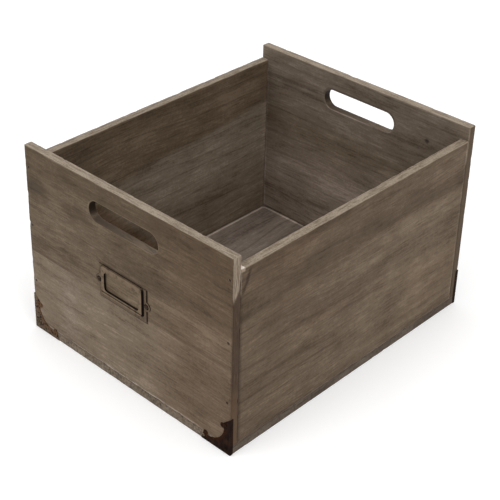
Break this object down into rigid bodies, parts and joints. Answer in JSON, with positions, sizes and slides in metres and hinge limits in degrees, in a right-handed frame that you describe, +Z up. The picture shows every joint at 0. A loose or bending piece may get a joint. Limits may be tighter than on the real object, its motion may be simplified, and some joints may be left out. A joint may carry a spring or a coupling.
{
  "type": "wooden storage box",
  "caption": "Open wooden storage box with handle slots in its tall end walls, lower side walls, a raised metal card holder and ornamental plates at its lower corners.",
  "frame": {"origin": "middle of the whole outline, card holder and plates included, on the ground under the box", "axes": "+Z up, -Y out of the front wall that carries the card holder, +X to the right seen from the front"},
  "size_m": [0.3016, 0.3752, 0.23],
  "materials": {
    "weathered_wood": "grey-brown solid wood, matt, with level grain and worn pale edges",
    "dark_wood": "darker grey-brown solid wood, matt, with a thin pale rim on the floor inside",
    "aged_bronze": "aged bronze, dull brown-grey with dark recesses",
    "blackened_iron": "blackened sheet metal, worn grey in places, with rust spots",
    "dull_steel": "dull steel with a little rust"
  },
  "bodies": {
    "root": {"front_panel": "weathered_wood", "back_panel": "weathered_wood", "left_side_panel": "weathered_wood", "right_side_panel": "weathered_wood", "bottom_board": "dark_wood", "label_holder": "aged_bronze", "label_holder_screw_left": "dull_steel", "label_holder_screw_right": "dull_steel", "front_left_corner_plate": "blackened_iron", "front_right_corner_plate": "blackened_iron", "back_left_corner_plate": "blackened_iron", "back_right_corner_plate": "blackened_iron", "front_left_corner_pin_upper": "blackened_iron", "front_left_corner_pin_lower": "blackened_iron", "front_left_corner_pin_corner": "blackened_iron", "front_right_corner_pin_upper": "blackened_iron", "front_right_corner_pin_lower": "blackened_iron", "front_right_corner_pin_corner": "blackened_iron", "back_left_corner_pin_upper": "blackened_iron", "back_left_corner_pin_lower": "blackened_iron", "back_left_corner_pin_corner": "blackened_iron", "back_right_corner_pin_upper": "blackened_iron", "back_right_corner_pin_lower": "blackened_iron", "back_right_corner_pin_corner": "blackened_iron", "front_brad_left_1": "dull_steel", "front_brad_left_2": "dull_steel", "front_brad_left_3": "dull_steel", "front_brad_right_1": "dull_steel", "front_brad_right_2": "dull_steel", "front_brad_right_3": "dull_steel", "back_brad_left_1": "dull_steel", "back_brad_left_2": "dull_steel", "back_brad_left_3": "dull_steel", "back_brad_right_1": "dull_steel", "back_brad_right_2": "dull_steel", "back_brad_right_3": "dull_steel", "bottom_brad_left_1": "dull_steel", "bottom_brad_left_2": "dull_steel", "bottom_brad_left_3": "dull_steel", "bottom_brad_right_1": "dull_steel", "bottom_brad_right_2": "dull_steel", "bottom_brad_right_3": "dull_steel", "bottom_brad_front_1": "dull_steel", "bottom_brad_front_2": "dull_steel", "bottom_brad_back_1": "dull_steel", "bottom_brad_back_2": "dull_steel"}
  },
  "joints": []
}
